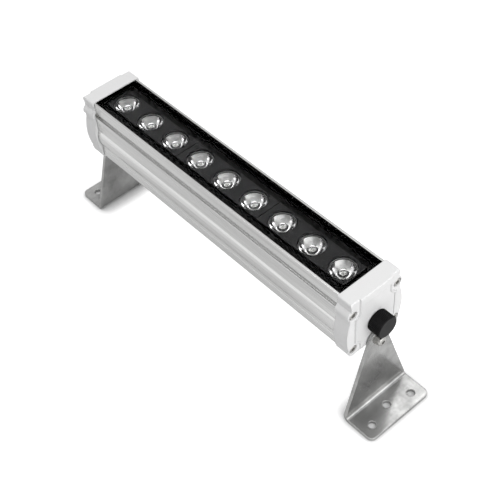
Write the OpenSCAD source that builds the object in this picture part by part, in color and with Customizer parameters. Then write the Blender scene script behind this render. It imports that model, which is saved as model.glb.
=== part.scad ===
// Outdoor wall washer light: a row of nine lenses in an aluminium profile,
// white end caps, and two bent steel feet on which the lamp head tilts.
// X runs along the light, Z is up, and the feet stand on Z = 0.

/* [Profile] */
// Length of the profile that shows between the end caps
opening_len = 300; // [260:5:360]
// Clear width between the two top rims
opening_w = 43.4; // [42:0.2:50]
// Width of each thin top rim
rim_t = 1.8; // [1.6:0.1:2.4]
// Height of the profile
profile_h = 58; // [54:0.5:66]
// Side wall of the driver bay
bay_wall = 2.2; // [1.8:0.1:2.6]
// Bottom wall of the driver bay
floor_t = 2.4; // [1.8:0.1:3]
// Shelf that carries the LED board
shelf_t = 3; // [2:0.25:4]
// Depth of the shelf below the rims
shelf_drop = 17; // [16:0.5:20]
// How far the lower side wall stands proud of the upper one
belly_step = 1.5; // [1:0.1:2]
// How far the rounded band stands proud of the lower side wall
belly_out = 2; // [1.2:0.1:2.4]
// Height of the rounded band
belly_h = 16; // [13:0.5:19]
// Height of the band's middle above the profile's bottom
belly_rise = 21.5; // [21:0.25:24]

/* [Screw channels] */
// Radius of the open screw channels
channel_r = 1.75; // [1.6:0.05:1.9]
// Depth of an upper channel's axis below the side wall, which it opens
channel_in = 0.6; // [0.5:0.05:1]
// Wall outside the closed lower channels
channel_wall = 1.1; // [0.9:0.1:1.5]
// Radius of the wall round a channel
boss_r = 3.3; // [3:0.1:3.6]
// Height of the lower channels above the profile's bottom
low_channel = 5.6; // [5.5:0.1:7]
// Drop of the upper channels below the rims
top_channel = 12; // [11.5:0.1:13]

/* [Glass and trim] */
// Thickness of the cover glass
glass_t = 3; // [2:0.25:3.5]
// Depth of the cover glass below the rims
glass_drop = 1.2; // [0.6:0.1:1.4]
// Thickness of the silicone seal under the glass
seal_t = 0.6; // [0.4:0.1:1]
// Thickness of the seal's upright leg
seal_leg = 0.8; // [0.6:0.1:1.2]
// Width of the ledges that carry the seal
ledge_w = 1.5; // [1:0.1:2]
// Thickness of the ledges
ledge_t = 0.9; // [0.7:0.1:1.2]
// Thickness of the black trim plate
trim_t = 1; // [0.6:0.1:1.4]

/* [Lenses] */
// Diameter of a lens flange
lens_d = 22.4; // [20:0.2:22.6]
// Height of a lens
lens_h = 9; // [8.4:0.1:9.6]
// Thickness of a lens flange
lens_rim = 1.2; // [0.8:0.1:1.6]
// Width of a lens holder
holder_w = 24.8; // [24.6:0.2:28]
// Gap from the holders to the glass
holder_gap = 0.3; // [0.2:0.1:0.6]
// Part of the opening's length that the row of holders leaves free
row_free = 1.2; // [0.8:0.2:4]
// Shift of the row towards the cable end
row_shift = 2.2; // [0:0.1:3]
// Distance from the first and last lens's axis to the row's end
row_end = 12.6; // [11.8:0.1:14]
// Joint between two holders
holder_joint = 0.6; // [0.3:0.1:1]

/* [LED board] */
// Thickness of the LED board
board_t = 1.6; // [1:0.2:2]
// Side of an LED package
led_side = 3.5; // [3:0.1:4]
// Height of an LED package
led_h = 0.8; // [0.5:0.1:1]
// Radius of an LED dome
led_dome = 1.45; // [1.2:0.05:1.5]

/* [Driver] */
// Length of the driver board
driver_len = 150; // [120:5:170]
// Thickness of the driver board
driver_t = 1.6; // [1.2:0.2:2]
// Height of the driver board above the profile's bottom
driver_rise = 14; // [13.5:0.25:15]
// Width of the rails that hold the driver board
rail_w = 1.6; // [1.2:0.1:2]
// Thickness of the rails
rail_t = 1.4; // [1:0.1:1.6]

/* [End caps] */
// Length of an end cap
cap_len = 15.5; // [14:0.5:20]
// Depth of the socket that takes the profile's end
cap_socket = 8; // [6:0.5:9]
// Thickness of the lip round the profile
lip_t = 1.2; // [1:0.1:1.6]
// Overhang of the flat top flange past the lip
flange_over = 0.5; // [0.4:0.1:1]
// Height of the flat top flange
flange_h = 3.4; // [2.8:0.1:4]
// Radius of the flange's upper side edges
flange_edge = 1.2; // [0.6:0.1:1.3]
// How far the rounded sides stand proud of the lip
side_out = 2.8; // [2.4:0.1:3.2]
// Height of the rounded sides
side_h = 34; // [30:1:36]
// Radius of the screw lugs
lug_r = 5.2; // [4.7:0.1:5.4]
// Height of the raised face
panel_t = 1.4; // [1:0.1:1.6]
// Margin between the raised face and the cap's side
panel_margin = 5.2; // [4:0.1:6]
// Border of the raised face round its shallow recess
panel_border = 1.6; // [1.2:0.1:2.4]
// Depth of the recess's upper edge below the cap's top
panel_band = 7.5; // [6:0.1:9]
// Chamfer of the cap's outer edges
cap_chamfer = 0.8; // [0.4:0.1:1]
// Thickness of a gasket
gasket_t = 1; // [0.5:0.1:1.5]

/* [Screws] */
// Diameter of the end cap screws
cap_screw_d = 3.4; // [3:0.05:3.45]
// Length of the end cap screws under the head
cap_screw_len = 11.5; // [10:0.5:12]
// Diameter of the end cap screw heads
cap_head_d = 7.4; // [7:0.1:7.8]
// Height of the end cap screw heads
cap_head_h = 2.3; // [2:0.1:2.6]
// Diameter of the board screws
board_screw_d = 2.9; // [2.5:0.1:3]

/* [Feet] */
// Height of the tilt axis above the mounting surface
pivot_h = 79; // [74:1:100]
// Height of the tilt axis above the profile's bottom
pivot_rise = 3; // [2:0.25:4]
// Thickness of the steel sheet
sheet_t = 3; // [2:0.25:3.5]
// Inner radius of the bend
bend_r = 3; // [1.5:0.25:4]
// Width of a foot
foot_w = 67; // [56:1:80]
// Reach of a foot outwards from its upright
foot_reach = 31.5; // [29:0.5:40]
// Radius of a foot's outer corners
foot_corner = 5; // [3:0.5:7]
// Radius of the upright's round top
apex_r = 9.5; // [8.5:0.1:9.5]
// Diameter of the holes in a foot
foot_hole_d = 7; // [5:0.1:7.2]
// Distance between the two outer holes of a foot
foot_hole_span = 44.8; // [38:0.2:50]
// Distance from the outer holes to the foot's outer edge
foot_hole_edge = 10.3; // [8:0.1:12]
// How far the middle hole lies nearer the bend
foot_hole_step = 5.7; // [4:0.1:7]

/* [Tilt pivots] */
// Diameter of the pivot screws
pivot_d = 5; // [4:0.25:6]
// Running clearance of a bracket on its pivot screw
pivot_play = 0.1; // [0.05:0.01:0.15]
// Radius of the boss that takes a pivot screw
pivot_boss_r = 8; // [7:0.1:8.4]
// Thickness of the friction washers
friction_t = 0.5; // [0.3:0.1:1]
// Diameter of the friction washers
friction_d = 14; // [12:0.5:15]
// Diameter of the flat washers
washer_d = 10; // [9:0.25:11]
// Thickness of the flat washers
washer_t = 1; // [0.6:0.1:1.4]
// Diameter of the spring washers
spring_d = 8.8; // [8.2:0.1:9]
// Thickness of the spring washers
spring_t = 1.2; // [0.8:0.1:1.5]
// Diameter of the pivot screw heads
pivot_head_d = 8.4; // [8:0.1:9]
// Height of the pivot screw heads
pivot_head_h = 2.8; // [2.4:0.1:3.2]

/* [Link socket and screw cap] */
// Height of the socket and gland axis above the tilt axis
port_rise = 21.3; // [21:0.1:23]
// Diameter of the screw cap over its ribs
knob_d = 19.4; // [18:0.1:19.6]
// Distance that the screw cap stands out from the end cap
knob_len = 12.2; // [11:0.1:14]
// Number of grip ribs
knob_ribs = 54; // [36:6:60]
// Depth of the grip ribs
knob_rib_h = 0.35; // [0.2:0.05:0.5]
// Thickness of the screw cap's flat end
knob_end = 2.8; // [2:0.1:3.4]
// Gap between the screw cap and the end cap
knob_gap = 0.4; // [0.3:0.1:0.8]
// Diameter of the socket's threaded neck
neck_d = 13.8; // [13:0.1:14.2]
// Clearance of the screw cap on the neck
neck_play = 0.35; // [0.3:0.05:0.5]
// Thickness of the seal disc in the screw cap
disc_t = 1; // [0.8:0.1:1.4]
// Diameter of the threads that pass through the end caps
port_d = 10.2; // [9:0.1:11]

/* [Cable gland] */
// Diameter of the cable that the gland takes
cable_d = 7; // [6:0.1:8]
// Width of the gland's hexagon across its flats
gland_af = 17; // [16:0.25:18]
// Length of the gland's hexagon
gland_hex = 4; // [3:0.25:5]
// Length of the gland's outer thread
gland_thread = 8; // [7:0.25:10]
// Diameter of the gland's outer thread
gland_d = 15; // [14.4:0.1:15.4]
// Length of the domed nut
dome_len = 13; // [12:0.25:15]

/* [Hidden] */
$fn = 96;

// Common values
over = 1;           // how far a cut runs past the solid that it goes through
skin = 0.15;        // clearance of parts that slide into each other
seat = 0.3;         // clearance of parts that lie beside each other

// Heights: base_z is the profile's bottom, every v below is a height above it
base_z = pivot_h - pivot_rise;
half_w = opening_w / 2;
rim_half = half_w + rim_t;
bay_half = rim_half - bay_wall;
shelf_v = profile_h - shelf_drop;
bay_top = shelf_v - shelf_t;
belly_half = rim_half + belly_step;
channel_y = [belly_half - channel_wall - channel_r, rim_half - channel_in];
channel_v = [low_channel, profile_h - top_channel];
step_v = channel_v[1] - channel_r;
corner_r = 1.6;     // round lower edges of the profile
groove_w = 3;       // width of the shallow grooves under the profile
groove_t = 0.8;     // their depth
groove_y = 9;       // and their distance from the middle
line_r = 0.8;       // round shadow line along each side
line_in = 0.3;      // its axis lies this far outside the wall
line_v = channel_v[0] + boss_r + seat;

// Glass, seal, ledges and trim, from the top down
glass_v = profile_h - glass_drop - glass_t;
seal_v = glass_v - seal_t;
ledge_v = seal_v - ledge_t;
ledge_y = half_w - ledge_w;
trim_v = channel_v[1] + boss_r;
board_v = shelf_v;
holder_v = board_v + board_t;
holder_top = glass_v - holder_gap;
lens_top = holder_v + lens_h;

// Lengths along X
x_in = opening_len / 2;
x_wall = x_in + cap_socket;
x_end = x_wall - gasket_t;
x_out = x_in + cap_len;
x_lug = x_out - panel_t;
cap_top = profile_h + lip_t;
cap_half = rim_half + lip_t + flange_over;
recess_in = 0.5;    // depth of the shallow recess in an end cap's face
glass_inset = 1.5;  // distance of the glass from the profile's ends
glass_half = x_end - glass_inset;
leg_x = x_in + seal_leg + seat;

// Row of lenses
lens_count = 9;
per_holder = 3;
pitch = (opening_len - row_free) / lens_count;
lens_r = lens_d / 2;
bore_r = lens_r + skin;
lens_foot_share = 1.3;        // foot ring's radius, of the LED's side
lens_hollow_share = 0.95;     // hollow's radius, of the LED's side
lens_depth_share = 0.42;      // hollow's height, of the lens's height
lens_dish_share = 0.42;       // dish's radius, of the lens's radius
lens_dish_depth_share = 0.6;  // dish's depth, of the flange
throat_h = 0.6;     // straight wall of the opening over a lens
mouth_flare = 0.7;  // how far the mouth over a lens opens out
aperture_r = lens_r - skin;
mouth_r = aperture_r + mouth_flare;
peg_r = 1.2;        // pegs that place a holder on the board
peg_h = 1.2;        // and their length
function lens_x(k) = (k - (lens_count - 1) / 2) * pitch - row_shift;
function holder_x(j) = (j - 1) * per_holder * pitch - row_shift;
function seam_x(k) = (lens_x(k - 1) + lens_x(k)) / 2;
function holder_lo(j) = j == 0 ? lens_x(0) - row_end : seam_x(per_holder * j) + holder_joint / 2;
function holder_hi(j) = j == 2 ? lens_x(lens_count - 1) + row_end : seam_x(per_holder * (j + 1)) - holder_joint / 2;
row_lo = holder_lo(0);
row_hi = holder_hi(2);

// LED board and its screws
board_half = channel_y[1] - boss_r - seat;
board_inset = 5;    // distance of the LED board from the profile's ends
board_len_half = x_end - board_inset;
board_head_d = 5;   // heads of the board screws
board_head_h = 1.8; // and their height
board_head_share = 0.8;    // flat top of such a head, of its width
board_socket_share = 0.7;  // key socket, of the screw's width
board_screw_y = (holder_w / 2 + board_half) / 2;

// Driver
driver_x = 5;       // middle of the driver board
driver_v = driver_rise;
driver_top = driver_v + driver_t;
driver_half = bay_half - seat;
lead_r = 0.8;       // insulated wires
lead_x = 21.5;       // where the wires to the LED board go up
lead_gap = 2.2;     // distance between two wires of the LED pair
lead_hole_r = 3.2;  // hole for them in the shelf
block_l = 12;       // terminal block, along X
block_w = 18;       // terminal block, along Y
block_top = 2.8;    // terminal block above the port axis

// Ports
port_v = pivot_rise + port_rise;
port_r = port_d / 2;
port_pad = 0.7;     // flat pad of an end cap round its port
port_pad_r = max(neck_d, gland_af) / 2 + port_pad;
pocket_r = 11;      // room for a locknut inside an end cap
pocket_t = 4;       // and its depth
locknut_af = 14;    // locknut across its flats
locknut_t = 3;      // its thickness
x_nut = x_wall + pocket_t;
port_tail = 4;      // length of a port's thread behind its locknut
x_tail = x_nut - locknut_t - port_tail;
port_seal_t = 0.8;  // flat seals under the ports
neck_r = neck_d / 2;
knob_r = knob_d / 2;
x_knob = x_out + knob_len;
knob_chamfer = 0.7; // chamfer round the screw cap's end
x_disc = x_knob - knob_end - disc_t;
pin_r = 0.8;        // contact pins of the socket
pin_ring = 2.8;     // their distance from its axis
pin_out = 4;        // how far they stand in the socket's recess
recess_r = 4.8;     // the recess round them
recess_t = 5.5;     // and its depth
tail_out = 2;       // solder tails behind the socket

// Tilt pivots
pivot_r = pivot_d / 2;
x_plate = x_out + friction_t;
x_face = x_plate + sheet_t;
x_washer = x_face + washer_t;
x_head = x_washer + spring_t;
pivot_depth = 7;    // depth of the threaded hole for a pivot screw
pivot_hole_end = x_out - pivot_depth;
foot_end = x_plate + foot_reach;
foot_half = foot_w / 2;
hole_x = foot_end - foot_hole_edge;
washer_play = 0.2;  // washers on their screws
spring_gap = 0.7;   // split in a spring washer
key_af = 3;         // hexagon socket of the screws
key_t = 1.4;        // and its depth
pan_side_share = 0.6;   // upright side of a pan head, of its height
pan_top_share = 0.36;   // flat top's radius, of its width
dome_side_share = 0.35; // upright side of a button head, of its height
dome_top_share = 0.45;  // flat top of a button head, of its width

// Solid of a shape drawn in Y and Z, from x0 to x1
module along_x(x0, x1) {
  translate([x0, 0, base_z]) rotate([90, 0, 90]) linear_extrude(height = x1 - x0) children();
}

// Round bar along X at y and at v above the profile's bottom
module bar_x(r, x0, x1, y, v) {
  translate([x0, y, base_z + v]) rotate([0, 90, 0]) cylinder(h = x1 - x0, r = r);
}

// Hexagonal bar along X, by its width across the flats
module hex_x(af, x0, x1, y, v) {
  translate([x0, y, base_z + v]) rotate([0, 90, 0]) cylinder(h = x1 - x0, d = af / cos(30), $fn = 6);
}

// Turned piece on an axis along X, from points given as [x, radius]
module turned_x(points, y, v) {
  translate([0, y, base_z + v]) rotate([0, 90, 0])
    rotate_extrude() polygon([for (p = points) [p[1], p[0]]]);
}

// Both sides of the light
module both_sides() {
  children();
  mirror([1, 0]) children();
}

// The same piece at the cable end
module far_end() {
  mirror([1, 0, 0]) children();
}

// Box between two corners, in heights above the profile's bottom
module box_at(x0, x1, y0, y1, v0, v1) {
  translate([x0, y0, base_z + v0]) cube([x1 - x0, y1 - y0, v1 - v0]);
}

// Outer shape of the profile, grown by g on every side
module profile_outline(g) {
  r = corner_r + g;
  chord = belly_h / 2 + g;
  arc_r = (chord * chord + belly_out * belly_out) / (2 * belly_out);
  translate([-(rim_half + g), corner_r]) square([2 * (rim_half + g), profile_h - corner_r + g]);
  translate([-(belly_half + g), corner_r]) square([2 * (belly_half + g), step_v - corner_r + g]);
  translate([-(belly_half + g - r), -g]) square([2 * (belly_half + g - r), step_v]);
  both_sides() translate([belly_half + g - r, corner_r]) circle(r = r);
  both_sides() intersection() {
    translate([belly_half + g + belly_out - arc_r, belly_rise]) circle(r = arc_r);
    translate([0, belly_rise - chord - channel_r]) square([rim_half + belly_half, 2 * (chord + channel_r)]);
  }
}

// Axes of the four screw channels
module at_channels() {
  for (i = [0, 1]) both_sides() translate([channel_y[i], channel_v[i]]) children();
}

// Section of the profile with its channel, bay, ledges and rails
module profile_section() {
  difference() {
    union() {
      difference() {
        profile_outline(0);
        translate([-half_w, shelf_v]) square([opening_w, shelf_drop + over]);
        translate([-bay_half, floor_t]) square([2 * bay_half, bay_top - floor_t]);
      }
      intersection() {
        profile_outline(0);
        at_channels() circle(r = boss_r);
      }
      both_sides() {
        translate([ledge_y, ledge_v]) square([ledge_w + rim_t / 2, ledge_t]);
        translate([bay_half - rail_w, driver_v - rail_t]) square([rail_w + bay_wall / 2, rail_t]);
        translate([bay_half - rail_w, driver_top + skin]) square([rail_w + bay_wall / 2, rail_t]);
      }
    }
    at_channels() circle(r = channel_r);
    both_sides() {
      translate([groove_y - groove_w / 2, -over]) square([groove_w, groove_t + over]);
      translate([belly_half + line_in, line_v]) circle(r = line_r);
    }
  }
}

module housing_profile() {
  color("silver") difference() {
    along_x(-x_end, x_end) profile_section();
    translate([lead_x, 0, base_z + bay_top - over]) cylinder(h = shelf_t + 2 * over, r = lead_hole_r);
    at_board_screws() translate([0, 0, -shelf_t - over])
      cylinder(h = shelf_t + 2 * over, d = board_screw_d + skin);
  }
}

module cover_glass() {
  color([0.8, 0.9, 0.9, 0.3])
    box_at(-glass_half, glass_half, -(half_w - skin), half_w - skin, glass_v, glass_v + glass_t);
}

// Black silicone frame under the glass, with a leg down to the trim plate
module glass_seal() {
  leg_y = ledge_y - skin;
  color("black") difference() {
    union() {
      box_at(-glass_half, glass_half, -(half_w - skin), half_w - skin, seal_v, glass_v);
      box_at(-leg_x, leg_x, -leg_y, leg_y, trim_v + trim_t, glass_v - seal_t / 2);
    }
    box_at(-(leg_x - seal_leg), leg_x - seal_leg, -(leg_y - seal_leg), leg_y - seal_leg,
           trim_v, glass_v + over);
  }
}

// Black plate with a window for the lens holders
module trim_plate() {
  edge_y = half_w - seat;
  window_y = holder_w / 2 + skin;
  color("black") difference() {
    box_at(-(glass_half - seat), glass_half - seat, -edge_y, edge_y, trim_v, trim_v + trim_t);
    box_at(row_lo - skin, row_hi + skin, -window_y, window_y, trim_v - over, trim_v + trim_t + over);
  }
}

// Holder of three lenses: each lens sits under a lip at the bottom of a flared mouth
module lens_holder(j) {
  color("#2b2b2b") difference() {
    union() {
      box_at(holder_lo(j), holder_hi(j), -holder_w / 2, holder_w / 2, holder_v, holder_top);
      for (s = [-1, 1]) translate([holder_x(j) + s * pitch / 2, 0, base_z + holder_v - peg_h])
        cylinder(h = peg_h + over, r = peg_r);
    }
    for (k = [0:per_holder - 1]) translate([lens_x(per_holder * j + k), 0, base_z]) {
      translate([0, 0, holder_v - over]) cylinder(h = lens_h + over, r = bore_r);
      translate([0, 0, lens_top - over]) cylinder(h = holder_top - lens_top + 2 * over, r = aperture_r);
      translate([0, 0, lens_top + throat_h])
        cylinder(h = holder_top - lens_top - throat_h + skin, r1 = aperture_r, r2 = mouth_r);
    }
  }
}

// Collimating lens: a flange, a bowl-shaped flank, a foot ring and a hollow over the LED
module lens(k) {
  foot_r = led_side * lens_foot_share;
  hollow_r = led_side * lens_hollow_share;
  hollow_h = lens_h * lens_depth_share;
  flank_top = lens_h - lens_rim;
  flank_low = led_h;
  dish_r = lens_r * lens_dish_share;
  dish_t = lens_rim * lens_dish_depth_share;
  steps = 10;
  flank = [for (i = [0:steps])
    [foot_r + (lens_r - lens_rim - foot_r) * pow(i / steps, 0.72),
     flank_low + (flank_top - flank_low) * i / steps]];
  dish = [for (i = [0:steps / 2])
    [dish_r * (1 - 2 * i / steps), lens_h - dish_t * sin(90 * 2 * i / steps)]];
  dome = [for (i = [0:steps / 2])
    [hollow_r * 2 * i / steps, hollow_h - dish_t * (1 - cos(90 * 2 * i / steps))]];
  color([0.85, 0.9, 0.95, 0.5]) translate([lens_x(k), 0, base_z + holder_v])
    rotate_extrude() polygon(concat(
      [[hollow_r, 0], [foot_r, 0]], flank,
      [[lens_r, flank_top], [lens_r, lens_h]], dish, dome));
}

// Screw places on the LED board, two beside the middle of each holder
module at_board_screws() {
  for (j = [0:2], s = [-1, 1]) translate([holder_x(j), s * board_screw_y, base_z + board_v]) children();
}

module led_board() {
  color("#e8e8e0") difference() {
    box_at(-board_len_half, board_len_half, -board_half, board_half, board_v, board_v + board_t);
    for (j = [0:2], s = [-1, 1])
      translate([holder_x(j) + s * pitch / 2, 0, base_z + board_v + board_t - peg_h - skin])
        cylinder(h = peg_h + skin + over, r = peg_r + skin / 2);
    at_board_screws() translate([0, 0, -over])
      cylinder(h = board_t + 2 * over, d = board_screw_d + 2 * skin);
  }
}

module led_emitters() {
  color("#f2d64b") for (k = [0:lens_count - 1]) translate([lens_x(k), 0, base_z + holder_v]) {
    translate([-led_side / 2, -led_side / 2, 0]) cube([led_side, led_side, led_h]);
    difference() {
      translate([0, 0, led_h]) sphere(r = led_dome, $fn = 48);
      translate([-led_side, -led_side, -led_side - led_dome]) cube([2 * led_side, 2 * led_side, led_side + led_dome]);
    }
  }
}

module board_screws() {
  color("silver") at_board_screws() {
    translate([0, 0, -shelf_t]) cylinder(h = shelf_t + board_t + board_head_h / 2, d = board_screw_d);
    difference() {
      translate([0, 0, board_t]) cylinder(h = board_head_h, d1 = board_head_d, d2 = board_head_d * board_head_share);
      translate([0, 0, board_t + board_head_h / 2])
        cylinder(h = board_head_h, d = board_screw_d * board_socket_share, $fn = 6);
    }
  }
}

module driver_board() {
  color("#2f6b3a") box_at(driver_x - driver_len / 2, driver_x + driver_len / 2,
                          -driver_half, driver_half, driver_v, driver_top);
}

// Terminal blocks, transformer, capacitors, coil and controller on the driver board
module driver_components() {
  room = bay_top - driver_top;
  core_share = 0.58;
  can_share = 0.62;
  coil_share = 0.36;
  chip_share = 0.09;
  can_r = 5;
  coil_r = 7;
  core_l = 22;
  core_w = 18;
  chip_l = 10;
  chip_w = 8;
  ends = [driver_x - driver_len / 2, driver_x + driver_len / 2 - block_l];
  color("#3a3a3c") {
    for (x = ends) box_at(x, x + block_l, -block_w / 2, block_w / 2, driver_top, port_v + block_top);
    box_at(driver_x - core_l / 2, driver_x + core_l / 2, -core_w / 2, core_w / 2,
           driver_top, driver_top + room * core_share);
    for (s = [-1, 1]) translate([driver_x - core_l - can_r, s * (can_r + skin), base_z + driver_top])
      cylinder(h = room * can_share, r = can_r);
    translate([driver_x + core_l + coil_r, -coil_r - skin, base_z + driver_top]) difference() {
      cylinder(h = room * coil_share, r = coil_r);
      translate([0, 0, -over]) cylinder(h = room * coil_share + 2 * over, r = coil_r / 2);
    }
    box_at(driver_x + core_l + chip_l, driver_x + core_l + 2 * chip_l, skin, skin + chip_w,
           driver_top, driver_top + room * chip_share);
  }
}

// Pair of wires from the driver board up through the shelf to the LED board
module led_leads() {
  color("red") for (s = [-1, 1]) translate([lead_x, s * lead_gap / 2, base_z + driver_top])
    cylinder(h = board_v - driver_top, r = lead_r);
}

// Angles of the three contact pins round the socket's axis
pin_angles = [30, 150, 270];
function pin_y(a) = pin_ring * cos(a);
function pin_v(a) = port_v + pin_ring * sin(a);

// Wires from the driver's terminal block to the socket's solder tails
module link_leads() {
  color("red") for (a = pin_angles)
    bar_x(lead_r, driver_x + driver_len / 2, x_tail - tail_out, pin_y(a), pin_v(a));
}

// Outer shape of an end cap: the profile's shape with a lip, rounded sides and a top flange
module cap_outline() {
  side_r = (side_h * side_h / 4 + side_out * side_out) / (2 * side_out);
  difference() {
    profile_outline(lip_t);
    translate([-cap_half, cap_top - flange_h / 2]) square([2 * cap_half, flange_h]);
  }
  both_sides() intersection() {
    translate([belly_half + lip_t + side_out - side_r, belly_rise]) circle(r = side_r);
    translate([0, belly_rise - side_h / 2 - over]) square([rim_half + belly_half, side_h + 2 * over]);
  }
  translate([-cap_half, cap_top - flange_h]) square([2 * cap_half, flange_h - flange_edge]);
  translate([-(cap_half - flange_edge), cap_top - flange_h]) square([2 * (cap_half - flange_edge), flange_h]);
  both_sides() translate([cap_half - flange_edge, cap_top - flange_edge]) circle(r = flange_edge);
}

// Takes the top edge off a piece of the end cap that ends at x
module top_chamfer(x) {
  edge = cap_chamfer * sqrt(2);
  difference() {
    children();
    translate([x, 0, base_z + cap_top]) rotate([0, 45, 0])
      cube([edge, 2 * cap_half + over, edge], center = true);
  }
}

// Face of an end cap, drawn back by g and cut back round the screw lugs
module panel_outline(g, top) {
  notch = lug_r + panel_t + g;
  edge = belly_half + lip_t - panel_margin - g;
  low = lip_t + g;
  difference() {
    translate([-edge, low]) square([2 * edge, top - low]);
    at_channels() circle(r = notch);
    both_sides() for (i = [0, 1])
      translate([channel_y[i] - notch, channel_v[i] - (1 - i) * profile_h]) square([2 * notch, profile_h]);
  }
}

module end_cap_near() {
  color("white") difference() {
    union() {
      top_chamfer(x_lug) along_x(x_in, x_lug) cap_outline();
      for (i = [0, 1], s = [-1, 1])
        turned_x([[x_in, 0], [x_in, lug_r], [x_lug - cap_chamfer, lug_r],
                  [x_lug, lug_r - cap_chamfer], [x_lug, 0]], s * channel_y[i], channel_v[i]);
      top_chamfer(x_out) difference() {
        along_x(x_wall + gasket_t, x_out) panel_outline(0, cap_top);
        along_x(x_out - recess_in, x_out + over) panel_outline(panel_border, cap_top - panel_band);
      }
      bar_x(pivot_boss_r, x_wall, x_out, 0, pivot_rise);
      bar_x(port_pad_r, x_wall, x_out, 0, port_v);
    }
    along_x(x_in - over, x_wall) profile_outline(skin);
    bar_x(pocket_r, x_wall - over, x_nut, 0, port_v);
    bar_x(port_r + skin, x_nut - over, x_out + over, 0, port_v);
    bar_x(pivot_r + skin / 2, pivot_hole_end, x_out + over, 0, pivot_rise);
    for (i = [0, 1], s = [-1, 1]) {
      bar_x(cap_screw_d / 2 + seat, x_in - over, x_out, s * channel_y[i], channel_v[i]);
      bar_x(cap_head_d / 2 + seat, x_lug - cap_head_h - skin, x_out, s * channel_y[i], channel_v[i]);
    }
  }
}

module end_cap_far() {
  far_end() end_cap_near();
}

// Flat gasket between the profile's end and the end cap
module gasket_near() {
  color("#8a8a8a") difference() {
    along_x(x_end, x_wall) profile_outline(-seat);
    bar_x(pocket_r, x_end - over, x_wall + over, 0, port_v);
    for (i = [0, 1], s = [-1, 1])
      bar_x(cap_screw_d / 2 + seat, x_end - over, x_wall + over, s * channel_y[i], channel_v[i]);
  }
}

module gasket_far() {
  far_end() gasket_near();
}

// Four pan-head screws in the lugs of an end cap
module cap_screws_near() {
  x_under = x_lug - cap_head_h - skin;
  color("#b8b8bc") for (i = [0, 1], s = [-1, 1]) difference() {
    union() {
      bar_x(cap_screw_d / 2, x_under - cap_screw_len, x_under + cap_head_h / 2, s * channel_y[i], channel_v[i]);
      turned_x([[x_under, 0], [x_under, cap_head_d / 2], [x_under + cap_head_h * pan_side_share, cap_head_d / 2],
                [x_under + cap_head_h, cap_head_d * pan_top_share], [x_under + cap_head_h, 0]],
               s * channel_y[i], channel_v[i]);
    }
    hex_x(key_af, x_under + cap_head_h - key_t, x_out, s * channel_y[i], channel_v[i]);
  }
}

module cap_screws_far() {
  far_end() cap_screws_near();
}

// Upright of a bracket in Y and Z: straight flanks that meet a round top
module upright_shape() {
  low = sheet_t + bend_r;
  dy = foot_half;
  dz = pivot_h - low;
  reach = sqrt(dy * dy + dz * dz);
  lean = atan2(dz, dy) - acos(apex_r / reach);
  touch_y = apex_r * cos(-lean);
  touch_z = pivot_h + apex_r * sin(-lean);
  polygon([[-foot_half, low], [foot_half, low], [touch_y, touch_z], [-touch_y, touch_z]]);
  translate([0, pivot_h]) circle(r = apex_r);
}

// Bent bracket: upright, bend and foot with three holes
module bracket_near() {
  low = sheet_t + bend_r;
  x_foot = x_plate + low;
  color("#a9a9a6") difference() {
    union() {
      translate([x_plate, 0, 0]) rotate([90, 0, 90]) linear_extrude(height = sheet_t) upright_shape();
      intersection() {
        translate([x_foot, foot_half, low]) rotate([90, 0, 0]) difference() {
          cylinder(h = foot_w, r = low);
          translate([0, 0, -over]) cylinder(h = foot_w + 2 * over, r = bend_r);
        }
        translate([x_plate, -foot_half, 0]) cube([low, foot_w, low]);
      }
      linear_extrude(height = sheet_t) {
        translate([x_foot, -foot_half]) square([foot_end - foot_corner - x_foot, foot_w]);
        translate([x_foot, -foot_half + foot_corner])
          square([foot_end - x_foot, foot_w - 2 * foot_corner]);
        for (s = [-1, 1]) translate([foot_end - foot_corner, s * (foot_half - foot_corner)])
          circle(r = foot_corner);
      }
    }
    for (s = [-1, 1]) translate([hole_x, s * foot_hole_span / 2, -over])
      cylinder(h = sheet_t + 2 * over, d = foot_hole_d);
    translate([hole_x - foot_hole_step, 0, -over]) cylinder(h = sheet_t + 2 * over, d = foot_hole_d);
    bar_x(pivot_r + pivot_play, x_plate - over, x_face + over, 0, pivot_rise);
  }
}

module bracket_far() {
  far_end() bracket_near();
}

// Round washer on a pivot screw
module washer_x(d, x0, x1) {
  difference() {
    bar_x(d / 2, x0, x1, 0, pivot_rise);
    bar_x(pivot_r + washer_play, x0 - over, x1 + over, 0, pivot_rise);
  }
}

module friction_washer_near() {
  color("#dcdcd6") washer_x(friction_d, x_out, x_plate);
}

module friction_washer_far() {
  far_end() friction_washer_near();
}

module flat_washer_near() {
  color("silver") washer_x(washer_d, x_face, x_washer);
}

module flat_washer_far() {
  far_end() flat_washer_near();
}

// Split lock washer under the head
module spring_washer_near() {
  color("silver") difference() {
    washer_x(spring_d, x_washer, x_head);
    box_at(x_washer - over, x_head + over, 0, spring_d, pivot_rise - spring_gap / 2, pivot_rise + spring_gap / 2);
  }
}

module spring_washer_far() {
  far_end() spring_washer_near();
}

// Button-head screw that the lamp head tilts on
module pivot_screw_near() {
  steps = 6;
  head = [for (i = [0:steps])
    [x_head + pivot_head_h * (dome_side_share + (1 - dome_side_share) * sin(90 * i / steps)),
     pivot_head_d / 2 * (dome_top_share + (1 - dome_top_share) * cos(90 * i / steps))]];
  color("silver") difference() {
    union() {
      bar_x(pivot_r, pivot_hole_end + seat, x_head + pivot_head_h / 2, 0, pivot_rise);
      turned_x(concat([[x_head, 0], [x_head, pivot_head_d / 2]], head,
                      [[x_head + pivot_head_h, 0]]), 0, pivot_rise);
    }
    hex_x(key_af, x_head + pivot_head_h - key_t, x_head + pivot_head_h + over, 0, pivot_rise);
  }
}

module pivot_screw_far() {
  far_end() pivot_screw_near();
}

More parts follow.
